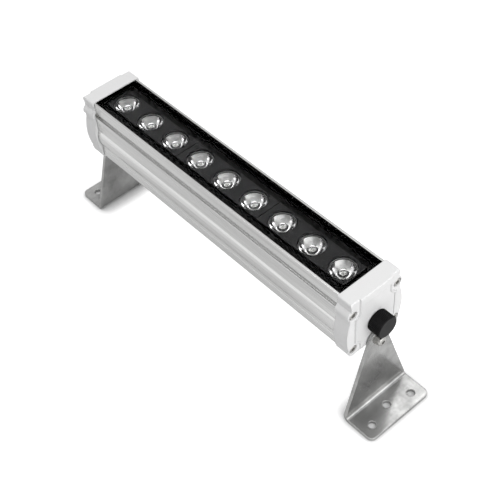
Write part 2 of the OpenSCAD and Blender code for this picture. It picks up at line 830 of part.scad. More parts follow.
// Socket for linking a second light, with a threaded neck and a thread through the end cap
module link_socket() {
  color("#1c1c1c") difference() {
    union() {
      bar_x(neck_r, x_out + port_seal_t, x_disc, 0, port_v);
      bar_x(port_r, x_tail, x_out + port_seal_t + over, 0, port_v);
    }
    bar_x(recess_r, x_disc - recess_t, x_disc + over, 0, port_v);
    for (a = pin_angles) bar_x(pin_r, x_tail - over, x_disc, pin_y(a), pin_v(a));
  }
}

module socket_pins() {
  color("gold") for (a = pin_angles)
    bar_x(pin_r, x_tail - tail_out, x_disc - recess_t + pin_out, pin_y(a), pin_v(a));
}

// Flat ring under a port, between it and the end cap
module port_ring(r) {
  difference() {
    bar_x(r, x_out, x_out + port_seal_t, 0, port_v);
    bar_x(port_r + skin, x_out - over, x_out + port_seal_t + over, 0, port_v);
  }
}

module socket_seal() {
  color("black") port_ring(neck_r);
}

// Hexagonal nut that clamps a port from inside
module socket_locknut() {
  color("#1c1c1c") difference() {
    hex_x(locknut_af, x_nut - locknut_t, x_nut, 0, port_v);
    bar_x(port_r + skin / 2, x_nut - locknut_t - over, x_nut + over, 0, port_v);
  }
}

// Round screw cap with fine grip ribs, a chamfered end and a threaded bore
module screw_cap() {
  rib_in = knob_r - knob_rib_h;
  ring = [for (i = [0:2 * knob_ribs - 1])
    let (r = i % 2 == 0 ? knob_r : rib_in, a = 180 * i / knob_ribs) [r * cos(a), r * sin(a)]];
  color("#181818") difference() {
    intersection() {
      along_x(x_out + knob_gap, x_knob) translate([0, port_v]) polygon(ring);
      turned_x([[x_out + knob_gap, 0], [x_out + knob_gap, rib_in],
                [x_out + knob_gap + 2 * knob_rib_h, knob_r + knob_rib_h],
                [x_knob - knob_chamfer - knob_rib_h, knob_r + knob_rib_h],
                [x_knob, knob_r - knob_chamfer], [x_knob, 0]], 0, port_v);
    }
    bar_x(neck_r + neck_play, x_out - over, x_disc + disc_t, 0, port_v);
  }
}

module screw_cap_seal() {
  color("#555555") bar_x(neck_r, x_disc, x_disc + disc_t, 0, port_v);
}

// Gland at the cable end, drawn at the near end and mirrored
gland_wall = 1.4;   // wall of the gland's outer thread
bush_r = gland_d / 2 - gland_wall;
x_gland = x_out + port_seal_t;
x_flank = x_gland + gland_hex;
x_thread = x_flank + gland_thread;
dome_gap = 1;       // gap between the hexagon and the domed nut
dome_wall = 1.6;    // wall of the domed nut
nut_hex_share = 0.55;   // hexagon's share of the domed nut's length
mouth_play = 0.6;   // room between the nut's mouth and the cable
x_dome = x_flank + dome_gap + dome_len;

module gland_body() {
  gland_bore = cable_d / 2 + seat;
  color("#1c1c1c") far_end() difference() {
    union() {
      hex_x(gland_af, x_gland, x_flank, 0, port_v);
      bar_x(gland_d / 2, x_flank - over, x_thread, 0, port_v);
      bar_x(port_r, x_tail, x_gland + over, 0, port_v);
    }
    bar_x(gland_bore, x_tail - over, x_thread + over, 0, port_v);
    bar_x(bush_r, x_flank, x_thread + over, 0, port_v);
  }
}

module gland_seal() {
  color("black") far_end() port_ring(gland_af / 2);
}

// Rubber bush that grips the cable
module gland_bush() {
  x_bush = x_dome - dome_wall - seat;
  color("#444444") far_end() difference() {
    bar_x(bush_r - skin, x_flank, x_bush, 0, port_v);
    bar_x(cable_d / 2, x_flank - over, x_bush + over, 0, port_v);
  }
}

// Domed nut that squeezes the bush
module gland_nut() {
  x0 = x_flank + dome_gap;
  hex_end = x0 + dome_len * nut_hex_share;
  inner_r = gland_d / 2 + skin;
  mouth = cable_d / 2 + mouth_play;
  color("#1c1c1c") far_end() difference() {
    union() {
      hex_x(gland_af, x0, hex_end, 0, port_v);
      turned_x([[x0, 0], [x0, gland_af / 2], [hex_end + dome_gap, gland_af / 2],
                [x_dome, mouth + dome_wall], [x_dome, 0]], 0, port_v);
    }
    turned_x([[x0 - over, 0], [x0 - over, inner_r], [x_thread + skin, inner_r],
              [x_thread + skin, bush_r], [x_dome - dome_wall, bush_r - skin], [x_dome - dome_wall, mouth],
              [x_dome + over, mouth], [x_dome + over, 0]], 0, port_v);
  }
}

module gland_locknut() {
  far_end() socket_locknut();
}

housing_profile();
cover_glass();
glass_seal();
trim_plate();
lens_holder(0);  // lens_holder_1
lens_holder(1);  // lens_holder_2
lens_holder(2);  // lens_holder_3
lens(0);  // lens_1
lens(1);  // lens_2
lens(2);  // lens_3
lens(3);  // lens_4
lens(4);  // lens_5
lens(5);  // lens_6
lens(6);  // lens_7
lens(7);  // lens_8
lens(8);  // lens_9
led_board();
led_emitters();
board_screws();
driver_board();
driver_components();
led_leads();
link_leads();
end_cap_near();
end_cap_far();
gasket_near();
gasket_far();
cap_screws_near();
cap_screws_far();
bracket_near();
bracket_far();
friction_washer_near();
friction_washer_far();
flat_washer_near();
flat_washer_far();
spring_washer_near();
spring_washer_far();
pivot_screw_near();
pivot_screw_far();
link_socket();
socket_pins();
socket_seal();
socket_locknut();
screw_cap();
screw_cap_seal();
gland_body();
gland_seal();
gland_bush();
gland_nut();
gland_locknut();
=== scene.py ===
"""Finishes and studio for the outdoor wall washer light.

The packed parts are loaded as they are. The operators below give each of them its finish,
and the last one sets the floor, the lamps and the camera. Lengths are in metres.
"""

import math

import bpy
from bpy.props import FloatProperty, FloatVectorProperty, PointerProperty
from mathutils import Matrix, Vector


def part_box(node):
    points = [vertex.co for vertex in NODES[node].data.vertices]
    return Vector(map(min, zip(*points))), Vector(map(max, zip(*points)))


bl_info = {
    "name": "Wall Washer Light",
    "version": (1, 0, 0),
    "blender": (4, 5, 0),
    "location": "View3D > Sidebar > Washer",
    "description": "Finishes and studio for a linear outdoor wall washer light",
    "category": "Object",
}

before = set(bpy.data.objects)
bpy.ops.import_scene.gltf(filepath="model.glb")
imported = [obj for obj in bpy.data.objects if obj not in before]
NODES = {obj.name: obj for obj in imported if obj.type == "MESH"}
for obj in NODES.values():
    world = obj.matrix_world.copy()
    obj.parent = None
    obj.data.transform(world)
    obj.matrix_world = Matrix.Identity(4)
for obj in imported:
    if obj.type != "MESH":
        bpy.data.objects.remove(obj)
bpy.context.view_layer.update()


# Settings


def colour(name, description, default):
    """A colour that the user can change."""
    return FloatVectorProperty(
        name=name, description=description, default=default, subtype="COLOR", min=0.0, max=1.0, size=3
    )


def share(name, description, default):
    """A value from 0 to 1."""
    return FloatProperty(
        name=name, description=description, default=default, min=0.0, max=1.0, subtype="FACTOR"
    )


def length(name, description, default):
    """A length in metres."""
    return FloatProperty(
        name=name, description=description, default=default, unit="LENGTH", subtype="DISTANCE"
    )


def power(name, description, default):
    """The power of a lamp in watts."""
    return FloatProperty(name=name, description=description, default=default, unit="POWER")


class MetalSettings(bpy.types.PropertyGroup):
    """Finishes of the profile, the feet and the screws."""

    profile: colour("Profile", "Anodised aluminium of the profile", (0.71, 0.71, 0.705))
    profile_roughness: share("Profile roughness", "Satin of the anodised surface", 0.23)
    profile_line: length("Drawing lines", "Spacing of the fine lines along the profile", 0.0011)
    profile_edge: length("Profile edge", "Soft radius of the profile's edges", 0.0005)
    steel: colour("Feet", "Stainless steel sheet of the feet", (0.49, 0.49, 0.485))
    steel_roughness: share("Feet roughness", "Polish of the steel sheet", 0.21)
    sheet_edge: length("Sheet edge", "Soft radius of the sheet's edges", 0.001)
    screw: colour("Screws", "Stainless steel of screws and washers", (0.44, 0.435, 0.42))
    dull_brass: colour("Dull brass", "Darker tone of the contact pins", (0.62, 0.43, 0.16))
    bright_brass: colour("Bright brass", "Lighter tone of the contact pins", (0.85, 0.66, 0.32))


class CoatSettings(bpy.types.PropertyGroup):
    """Finish of the painted end caps."""

    paint: colour("End caps", "White powder coat", (0.85, 0.85, 0.85))
    paint_roughness: share("Coat roughness", "Gloss of the powder coat", 0.38)
    orange_peel: length("Orange peel", "Size of the ripples in the powder coat", 0.0009)
    edge: length("Edge radius", "Soft radius of the coated edges", 0.001)


class PlasticSettings(bpy.types.PropertyGroup):
    """Finishes of black, grey and rubber pieces."""

    black: colour("Black plastic", "Screw cap, socket and cable gland", (0.006, 0.006, 0.0062))
    holder: colour("Lens holders", "Dark grey of the lens holders", (0.0145, 0.0145, 0.015))
    trim: colour("Trim", "Black plate and seal beside the lenses", (0.009, 0.009, 0.009))
    rubber: colour("Rubber", "Small seals of socket, screw cap and gland", (0.02, 0.02, 0.021))
    gasket: colour("Gaskets", "Grey rubber between profile and end caps", (0.12, 0.12, 0.126))
    nylon: colour("Nylon", "Friction washers", (0.72, 0.72, 0.69))


class OpticSettings(bpy.types.PropertyGroup):
    """Cover glass, lenses and LEDs."""

    glass_index: FloatProperty(
        name="Glass index", description="Refraction of the coated cover glass", default=1.05, min=1.0, max=2.0
    )
    lens_index: FloatProperty(
        name="Lens index", description="Refraction of the moulded lenses", default=1.49, min=1.0, max=2.0
    )
    lens_edge: length("Lens edge", "Soft radius of the lenses' edges", 0.0006)
    rim: share("Matt rim", "Share of the lens's radius at which its matt rim starts", 0.955)
    dull_phosphor: colour("Dull phosphor", "Darker tone of the LEDs' faces", (0.66, 0.66, 0.62))
    bright_phosphor: colour("Bright phosphor", "Lighter tone of the LEDs' faces", (0.82, 0.82, 0.78))


class InsideSettings(bpy.types.PropertyGroup):
    """Boards, components and wires."""

    led_board: colour("LED board", "White solder mask", (0.9, 0.9, 0.89))
    led_track: colour("LED board tracks", "Tracks under the white mask", (0.78, 0.78, 0.76))
    led_pads: colour("LED pads", "Tinned pads that spread from the LEDs", (0.95, 0.95, 0.94))
    driver_board: colour("Driver board", "Green solder mask", (0.03, 0.16, 0.06))
    driver_track: colour("Driver board tracks", "Tracks under the green mask", (0.10, 0.30, 0.12))
    component: colour("Components", "Cases of the driver's components", (0.05, 0.05, 0.055))
    wire: colour("Wires", "Insulation of the leads", (0.42, 0.03, 0.02))


class StudioSettings(bpy.types.PropertyGroup):
    """Floor, lamps and camera."""

    floor: colour("Floor", "Pale studio floor", (0.66, 0.66, 0.66))
    floor_size: length("Floor size", "Side of the floor", 14.0)
    contact: length("Contact shadow", "How far the shadow at the feet's edges spreads", 0.015)
    sky: share("Sky", "Brightness of the light from the surround", 0.55)
    key: power("Key lamp", "Power of the lamp at the socket end", 8.0)
    edge: power("Edge lamp", "Power of the lamp behind the socket end", 2.6)
    top: power("Top lamp", "Power of the lamp overhead", 11.0)
    focal: FloatProperty(
        name="Focal length", description="Focal length in image widths", default=2.01305, min=0.5, max=10.0
    )


SETTINGS = {
    "washer_metal": MetalSettings,
    "washer_coat": CoatSettings,
    "washer_plastic": PlasticSettings,
    "washer_optic": OpticSettings,
    "washer_inside": InsideSettings,
    "washer_studio": StudioSettings,
}


# Shader building

# Places of the nodes in the editor
NODE_COLUMNS = 8
NODE_STEP = (220, -260)

# Sockets of a Mix node that mixes colours
MIX_FACTOR, MIX_FIRST, MIX_SECOND = 0, 6, 7
MIX_RESULT = 2

BEVEL_SAMPLES = 6
WHITE = (1.0, 1.0, 1.0, 1.0)


class Tree:
    """A node tree under construction, with short calls to add and join nodes."""

    def __init__(self, tree):
        self.tree = tree
        self.count = 0

    def add(self, kind, attributes=None, **inputs):
        """Adds a node. attributes are set on the node, inputs on its sockets, by name."""
        node = self.tree.nodes.new(kind)
        self.count += 1
        row, column = divmod(self.count, NODE_COLUMNS)
        node.location = (NODE_STEP[0] * column, NODE_STEP[1] * row)
        for key, value in (attributes or {}).items():
            setattr(node, key, value)
        for key, value in inputs.items():
            self.put(node.inputs[key.replace("_", " ")], value)
        return node

    def put(self, socket, value):
        """Sets a socket to a constant, or links it to another node's output."""
        if isinstance(value, bpy.types.NodeSocket):
            self.tree.links.new(value, socket)
        else:
            socket.default_value = value

    def math(self, operation, first, second=0.0, clamp=False):
        """One step of arithmetic."""
        node = self.add("ShaderNodeMath", {"operation": operation, "use_clamp": clamp})
        self.put(node.inputs[0], first)
        self.put(node.inputs[1], second)
        return node.outputs[0]

    def mix(self, factor, first, second):
        """Mixes two colours."""
        node = self.add("ShaderNodeMix", {"data_type": "RGBA"})
        self.put(node.inputs[MIX_FACTOR], factor)
        self.put(node.inputs[MIX_FIRST], first)
        self.put(node.inputs[MIX_SECOND], second)
        return node.outputs[MIX_RESULT]

    def span(self, value, low, high):
        """Maps 0..1 to low..high."""
        node = self.add("ShaderNodeMapRange", Value=value)
        node.inputs["To Min"].default_value = low
        node.inputs["To Max"].default_value = high
        return node.outputs["Result"]

    def ramp(self, value, start, end, kind="LINEAR"):
        """Maps start..end to 0..1."""
        node = self.add("ShaderNodeMapRange", {"interpolation_type": kind}, Value=value)
        node.inputs["From Min"].default_value = start
        node.inputs["From Max"].default_value = end
        return node.outputs["Result"]

    def place(self):
        """Object coordinates in metres."""
        return self.add("ShaderNodeTexCoord").outputs["Object"]

    def stretched(self, per_metre):
        """Object coordinates times a scale for each axis."""
        mapping = self.add("ShaderNodeMapping", Vector=self.place())
        mapping.inputs["Scale"].default_value = per_metre
        return mapping.outputs["Vector"]

    def scaled(self, vector, factor):
        """A vector times a plain factor."""
        node = self.add("ShaderNodeVectorMath", {"operation": "SCALE"})
        self.put(node.inputs[0], vector)
        node.inputs["Scale"].default_value = factor
        return node.outputs["Vector"]

    def axes(self, vector):
        """The X, Y and Z of a vector."""
        return self.add("ShaderNodeSeparateXYZ", Vector=vector).outputs

    def reach(self, along, across):
        """The length of the way that goes along X and across Y."""
        way = self.add("ShaderNodeCombineXYZ", X=along, Y=across)
        node = self.add("ShaderNodeVectorMath", {"operation": "LENGTH"})
        self.put(node.inputs[0], way.outputs["Vector"])
        return node.outputs["Value"]

    def noise(self, vector, detail=3.0, roughness=0.55):
        """Soft noise from 0 to 1."""
        node = self.add("ShaderNodeTexNoise", Vector=vector, Scale=1.0, Detail=detail, Roughness=roughness)
        return node.outputs["Fac"]


def group(name, inputs, outputs):
    """An empty shader node group with named sockets: name -> (type, default)."""
    made = bpy.data.node_groups.new(name, "ShaderNodeTree")
    for socket_name, (kind, default) in inputs.items():
        socket = made.interface.new_socket(name=socket_name, in_out="INPUT", socket_type=kind)
        socket.default_value = default
    for socket_name, kind in outputs.items():
        made.interface.new_socket(name=socket_name, in_out="OUTPUT", socket_type=kind)
    tree = Tree(made)
    source = tree.add("NodeGroupInput")
    sink = tree.add("NodeGroupOutput")
    return made, tree, source.outputs, sink.inputs


def lines_group():
    """Fine drawn or brushed lines: a mask and a height that change across the lines."""
    made, tree, given, out = group(
        "Drawn lines",
        {"Vector": ("NodeSocketVector", (0, 0, 0)), "Contrast": ("NodeSocketFloat", 1.0)},
        {"Mask": "NodeSocketFloat", "Height": "NodeSocketFloat"},
    )
    coarse_scale = 0.17
    fine_share = 0.55
    middle = 0.5
    fine = tree.noise(given["Vector"], detail=2.0, roughness=0.7)
    coarse = tree.noise(tree.scaled(given["Vector"], coarse_scale), detail=2.0)
    fine_part = tree.math("MULTIPLY", fine, fine_share)
    both = tree.math("ADD", fine_part, tree.math("MULTIPLY", coarse, 1 - fine_share))
    spread = tree.math("MULTIPLY", tree.math("SUBTRACT", both, middle), given["Contrast"])
    tree.put(out["Mask"], tree.math("ADD", spread, middle, clamp=True))
    tree.put(out["Height"], fine)
    return made


def blotches_group():
    """Slow changes over a surface, such as handling marks and uneven gloss, and on the steel sheet painted
    mottled reflection; also specks of dust.
    """
    made, tree, given, out = group(
        "Blotches and specks",
        {"Vector": ("NodeSocketVector", (0, 0, 0)), "Amount": ("NodeSocketFloat", 0.5)},
        {"Mask": "NodeSocketFloat", "Specks": "NodeSocketFloat"},
    )
    speck_scale = 23.0
    slow = tree.noise(given["Vector"], detail=5.0, roughness=0.6)
    blotch = tree.ramp(slow, start=0.36, end=0.66)
    tree.put(out["Mask"], tree.math("MULTIPLY", blotch, given["Amount"], clamp=True))
    small = tree.noise(tree.scaled(given["Vector"], speck_scale), detail=1.0)
    speck = tree.ramp(small, start=0.68, end=0.74)
    tree.put(out["Specks"], tree.math("MULTIPLY", speck, given["Amount"], clamp=True))
    return made


def grain_group():
    """Even fine texture of a moulded or powder-coated surface, as a height."""
    made, tree, given, out = group(
        "Fine grain",
        {"Vector": ("NodeSocketVector", (0, 0, 0)), "Softness": ("NodeSocketFloat", 0.5)},
        {"Height": "NodeSocketFloat"},
    )
    cell_share = 0.4
    cells = tree.add("ShaderNodeTexVoronoi", {"feature": "SMOOTH_F1"}, Vector=given["Vector"], Scale=1.0)
    tree.put(cells.inputs["Smoothness"], given["Softness"])
    ripple = tree.noise(given["Vector"], detail=3.0)
    pits = tree.math("MULTIPLY", cells.outputs["Distance"], cell_share)
    tree.put(out["Height"], tree.math("ADD", pits, ripple))
    return made


GROUP_BUILDERS = {"lines": lines_group, "blotches": blotches_group, "grain": grain_group}
GROUPS = {}


def shared(name):
    """The shared effect of that name, built at its first use."""
    if name not in GROUPS:
        GROUPS[name] = GROUP_BUILDERS[name]()
    return GROUPS[name]


def start(name):
    """A new material with its tree and the inputs of its Principled shader."""
    material = bpy.data.materials.new(name)
    material.use_nodes = True
    material.node_tree.nodes.clear()
    tree = Tree(material.node_tree)
    shader = tree.add("ShaderNodeBsdfPrincipled")
    output = tree.add("ShaderNodeOutputMaterial")
    tree.put(output.inputs["Surface"], shader.outputs["BSDF"])
    return material, tree, shader.inputs


def effect(tree, name, per_metre, **inputs):
    """A shared effect. per_metre is its repeats: one number, or one for each axis."""
    scale = per_metre if isinstance(per_metre, tuple) else (per_metre,) * 3
    node = tree.add("ShaderNodeGroup", {"node_tree": shared(name)})
    tree.put(node.inputs["Vector"], tree.stretched(scale))
    for key, value in inputs.items():
        tree.put(node.inputs[key], value)
    return node.outputs


def rgb(value, factor=1.0):
    """A colour times a factor, as a socket takes it."""
    return tuple(min(1.0, c * factor) for c in value) + (1.0,)


def tinted(tree, mask, base, low, high):
    """The base colour times low where the mask is 0, and times high where it is 1."""
    return tree.mix(mask, rgb(base, low), rgb(base, high))


def soft_edge(tree, radius):
    """A normal that rounds hard edges by radius."""
    node = tree.add("ShaderNodeBevel", {"samples": BEVEL_SAMPLES})
    node.inputs["Radius"].default_value = radius
    return node.outputs["Normal"]


def bump(tree, height, depth, strength=1.0, edge=0.0):
    """A normal from a height, with its real depth, over edges rounded by edge."""
    node = tree.add("ShaderNodeBump", Height=height, Strength=strength)
    node.inputs["Distance"].default_value = depth
    if edge:
        tree.put(node.inputs["Normal"], soft_edge(tree, edge))
    return node.outputs["Normal"]


def around_lenses(tree):
    """Angle around the nearest lens's axis, and distance from it."""
    middles = []
    for name in ("lens_1", "lens_2"):
        low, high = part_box(name)
        middles.append((low[0] + high[0]) / 2)
    pitch = abs(middles[1] - middles[0])
    half = 0.5
    x, y, _ = tree.axes(tree.place())
    turns = tree.math("ADD", tree.math("MULTIPLY", x, 1 / pitch), half - middles[0] / pitch)
    along = tree.math("MULTIPLY", tree.math("SUBTRACT", tree.math("FRACT", turns), half), pitch)
    return tree.math("ARCTAN2", y, along), tree.reach(along, y)


def dress(material, *names):
    """Gives the named parts this material on every slot."""
    for name in names:
        if name not in NODES:
            raise RuntimeError("no part named " + name)
        slots = NODES[name].material_slots
        if not slots:
            NODES[name].data.materials.append(material)
        for slot in slots:
            slot.material = material


def smooth(*names, angle):
    """Shades the named parts smooth, and keeps edges sharper than angle, in degrees, as they are."""
    for name in names:
        mesh = NODES[name].data
        mesh.shade_smooth()
        mesh.set_sharp_from_angle(angle=math.radians(angle))


def both_ends(*parts):
    """The names of these parts at the near and at the far end."""
    return [part + end for part in parts for end in ("_near", "_far")]


# Metals


def anodised(s):
    """Satin aluminium with fine lines along the profile."""
    material, tree, put = start("anodised_aluminium")
    across = 1.0 / s.profile_line
    lines = effect(tree, "lines", per_metre=(8.0, across, across), Contrast=2.2)
    streaks = effect(tree, "lines", per_metre=(9.0, 520.0, 520.0), Contrast=3.2)
    marks = effect(tree, "blotches", per_metre=(14.0, 30.0, 30.0), Amount=0.5)
    lined = tinted(tree, lines["Mask"], s.profile, low=0.76, high=1.18)
    streaked = tinted(tree, streaks["Mask"], s.profile, low=0.62, high=1.2)
    streak_share = 0.55
    drawn = tree.mix(streak_share, lined, streaked)
    blotch_tone = rgb(s.profile, 0.94)
    tree.put(put["Base Color"], tree.mix(marks["Mask"], drawn, blotch_tone))
    put["Metallic"].default_value = 1.0
    line_rough = tree.span(lines["Mask"], low=-0.05, high=0.06)
    rough = tree.math("ADD", line_rough, tree.span(marks["Mask"], low=0.0, high=0.05))
    tree.put(put["Roughness"], tree.math("ADD", rough, s.profile_roughness))
    tree.put(put["Normal"], bump(tree, lines["Height"], depth=0.00002, strength=0.35, edge=s.profile_edge))
    return material


def sheet_steel(s):
    """Bright stainless sheet with faint rolling lines, and darker blotches that are partly handling marks and
    partly painted mottled reflection.
    """
    material, tree, put = start("stainless_sheet")
    lines = effect(tree, "lines", per_metre=(900.0, 60.0, 900.0), Contrast=1.2)
    marks = effect(tree, "blotches", per_metre=38.0, Amount=1.0)
    rolled = tinted(tree, lines["Mask"], s.steel, low=0.92, high=1.22)
    # Painted reflection: the darker blotches stand partly for handling marks and partly for the mottled
    # reflections of the polished sheet.
    blotch_tone = rgb(s.steel, 0.58)
    tree.put(put["Base Color"], tree.mix(marks["Mask"], rolled, blotch_tone))
    put["Metallic"].default_value = 1.0
    mark_rough = tree.span(marks["Mask"], low=-0.03, high=0.07)
    rough = tree.math("ADD", mark_rough, tree.span(lines["Mask"], low=-0.02, high=0.02))
    tree.put(put["Roughness"], tree.math("ADD", rough, s.steel_roughness))
    tree.put(put["Normal"], bump(tree, lines["Height"], depth=0.00001, strength=0.12, edge=s.sheet_edge))
    return material


def screw_steel(s):
    """Turned steel of screws and washers."""
    material, tree, put = start("screw_steel")
    lines = effect(tree, "lines", per_metre=2500.0, Contrast=1.0)
    tree.put(put["Base Color"], tinted(tree, lines["Mask"], s.screw, low=0.8, high=1.1))
    put["Metallic"].default_value = 1.0
    tree.put(put["Roughness"], tree.span(lines["Mask"], low=0.2, high=0.36))
    tree.put(put["Normal"], bump(tree, lines["Height"], depth=0.00001, strength=0.2))
    return material


def brass(s):
    """Bright contact pins."""
    material, tree, put = start("contact_brass")
    lines = effect(tree, "lines", per_metre=(400.0, 4000.0, 4000.0), Contrast=1.2)
    tree.put(put["Base Color"], tree.mix(lines["Mask"], rgb(s.dull_brass), rgb(s.bright_brass)))
    put["Metallic"].default_value = 1.0
    tree.put(put["Roughness"], tree.span(lines["Mask"], low=0.18, high=0.32))
    return material


class WASHER_OT_metals(bpy.types.Operator):
    """Finish the profile, the feet, the screws and the contact pins"""

    bl_idname = "washer.metals"
    bl_label = "Finish Metals"

    def execute(self, context):
        s = context.scene.washer_metal
        feet = both_ends("bracket")
        screws = both_ends("cap_screws", "pivot_screw", "flat_washer", "spring_washer") + ["board_screws"]
        dress(anodised(s), "housing_profile")
        dress(sheet_steel(s), *feet)
        dress(screw_steel(s), *screws)
        dress(brass(s), "socket_pins")
        smooth("housing_profile", "socket_pins", *feet, *screws, angle=32)
        return {"FINISHED"}


# End caps


def powder_coat(s):
    """White powder coat with fine orange peel and a little dust."""
    material, tree, put = start("white_powder_coat")
    grain = effect(tree, "grain", per_metre=1.0 / s.orange_peel, Softness=0.6)
    marks = effect(tree, "blotches", per_metre=60.0, Amount=0.35)
    painted = tinted(tree, marks["Mask"], s.paint, low=1.0, high=0.965)
    dust = rgb(s.paint, 0.8)
    tree.put(put["Base Color"], tree.mix(marks["Specks"], painted, dust))
    gloss = tree.span(marks["Mask"], low=s.paint_roughness - 0.03, high=s.paint_roughness + 0.08)
    tree.put(put["Roughness"], gloss)
    tree.put(put["Normal"], bump(tree, grain["Height"], depth=0.00004, strength=0.25, edge=s.edge))
    return material


class WASHER_OT_end_caps(bpy.types.Operator):
    """Finish the two white end caps"""

    bl_idname = "washer.end_caps"
    bl_label = "Finish End Caps"

    def execute(self, context):
        caps = both_ends("end_cap")
        dress(powder_coat(context.scene.washer_coat), *caps)
        smooth(*caps, angle=32)
        return {"FINISHED"}


# Plastics and rubber


def moulded(name, base, grain, roughness, specular, depth=0.00003):
    """Moulded plastic or rubber with an even grain of that size and depth, and faint marks."""
    material, tree, put = start(name)
    texture = effect(tree, "grain", per_metre=1.0 / grain, Softness=0.4)
    marks = effect(tree, "blotches", per_metre=90.0, Amount=0.5)
    worn = tinted(tree, marks["Mask"], base, low=1.0, high=1.25)
    dust = rgb(base, 1.9)
    tree.put(put["Base Color"], tree.mix(marks["Specks"], worn, dust))
    tree.put(put["Roughness"], tree.span(marks["Mask"], low=roughness - 0.04, high=roughness + 0.08))
    put["Specular IOR Level"].default_value = specular
    tree.put(put["Normal"], bump(tree, texture["Height"], depth=depth, strength=0.4))
    return material


def matt_black(name, base):
    """Matt black of the parts beside the lenses, nearly without grain."""
    return moulded(name, base, grain=0.004, roughness=0.7, specular=0.03, depth=0.000002)


class WASHER_OT_plastics(bpy.types.Operator):
    """Finish the screw cap, the socket, the cable gland, the trim, the washers and the seals"""

    bl_idname = "washer.plastics"
    bl_label = "Finish Plastics and Rubber"

    def execute(self, context):
        s = context.scene.washer_plastic
        hard = ("screw_cap", "link_socket", "socket_locknut", "gland_body", "gland_nut", "gland_locknut")
        soft = ("socket_seal", "gland_seal", "gland_bush", "screw_cap_seal")
        washers = both_ends("friction_washer")
        dress(moulded("black_moulding", s.black, grain=0.0004, roughness=0.38, specular=0.1), *hard)
        dress(moulded("black_rubber", s.rubber, grain=0.0003, roughness=0.62, specular=0.3), *soft)
        dress(matt_black("black_trim_plate", s.trim), "trim_plate")
        dress(matt_black("black_seal", s.trim), "glass_seal")
        gasket_rubber = moulded("gasket_rubber", s.gasket, grain=0.0004, roughness=0.7, specular=0.3)
        dress(gasket_rubber, *both_ends("gasket"))
        dress(moulded("washer_nylon", s.nylon, grain=0.0004, roughness=0.45, specular=0.5), *washers)
        smooth(*hard, *soft, *washers, angle=28)
        return {"FINISHED"}


# Optics


def clear_glass(s):
    """Low-reflection cover glass, faintly smeared."""
    material, tree, put = start("cover_glass_clear")
    marks = effect(tree, "blotches", per_metre=40.0, Amount=0.4)
    smear = (0.985, 0.99, 0.99, 1.0)
    tree.put(put["Base Color"], tree.mix(marks["Mask"], WHITE, smear))
    tree.put(put["Roughness"], tree.span(marks["Mask"], low=0.0, high=0.004))
    put["Transmission Weight"].default_value = 1.0
    put["IOR"].default_value = s.glass_index
    return material


def lens_plastic(s):
    """Clear moulded lens with a matt rim."""
    material, tree, put = start("lens_clear_plastic")
    marks = effect(tree, "blotches", per_metre=300.0, Amount=0.4)
    flow = (0.97, 0.975, 0.98, 1.0)
    tree.put(put["Base Color"], tree.mix(marks["Mask"], WHITE, flow))
    low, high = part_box("lens_1")
    lens_radius = (high[0] - low[0]) / 2
    _, distance = around_lenses(tree)
    rim = tree.math("GREATER_THAN", distance, lens_radius * s.rim)
    rim_roughness = 0.5
    polish = tree.span(marks["Mask"], low=0.01, high=0.03)
    tree.put(put["Roughness"], tree.math("ADD", polish, tree.math("MULTIPLY", rim, rim_roughness)))
    put["Transmission Weight"].default_value = 1.0
    put["IOR"].default_value = s.lens_index
    tree.put(put["Normal"], soft_edge(tree, s.lens_edge))
    return material


def phosphor(s):
    """Pale phosphor under the LED's dome."""
    material, tree, put = start("led_phosphor")
    grain = effect(tree, "grain", per_metre=9000.0, Softness=0.4)
    tree.put(put["Base Color"], tree.mix(grain["Height"], rgb(s.dull_phosphor), rgb(s.bright_phosphor)))
    put["Roughness"].default_value = 0.3
    put["Coat Weight"].default_value = 0.6
    tree.put(put["Normal"], bump(tree, grain["Height"], depth=0.00002, strength=0.3))
    return material


class WASHER_OT_optics(bpy.types.Operator):
    """Finish the cover glass, the lenses, their holders and the LEDs"""

    bl_idname = "washer.optics"
    bl_label = "Finish Optics"

    def execute(self, context):
        s = context.scene.washer_optic
        holder_colour = context.scene.washer_plastic.holder
        holders = sorted(name for name in NODES if name.startswith("lens_holder_"))
        lenses = sorted(name for name in NODES if name.startswith("lens_") and name not in holders)
        dress(clear_glass(s), "cover_glass")
        dress(lens_plastic(s), *lenses)
        dress(moulded("holder_grey", holder_colour, grain=0.0005, roughness=0.5, specular=0.16), *holders)
        dress(phosphor(s), "led_emitters")
        smooth("led_emitters", *lenses, *holders, angle=30)
        return {"FINISHED"}


# Inside


def circuit_board(name, base, track, pads=None):
    """Solder-masked board with faint copper tracks, and tinned pads that spread from the LEDs."""
    material, tree, put = start(name)
    tracks_per_metre = 260.0
    place = tree.stretched((tracks_per_metre,) * 3)
    tracks = tree.add("ShaderNodeTexBrick", {"offset": 0.37}, Vector=place, Scale=1.0, Mortar_Size=0.09)
    marks = effect(tree, "blotches", per_metre=80.0, Amount=0.4)
    track_strength = 0.7
    mask = tree.math("MULTIPLY", tracks.outputs["Fac"], track_strength)
    face = tree.mix(mask, rgb(base), rgb(track))
    if pads is not None:
        pad_count = 5.0
        pad_turn = 0.9
        angle, _ = around_lenses(tree)
        turned = tree.math("ADD", tree.math("MULTIPLY", angle, pad_count), pad_turn)
        star = tree.ramp(tree.math("SINE", turned), start=-0.5, end=0.5, kind="SMOOTHSTEP")
        face = tree.mix(star, face, rgb(pads))
        tree.put(put["Metallic"], star)
    tree.put(put["Base Color"], face)
    tree.put(put["Roughness"], tree.span(marks["Mask"], low=0.32, high=0.46))
    tree.put(put["Normal"], bump(tree, tracks.outputs["Fac"], depth=0.00004, strength=0.5))
    return material


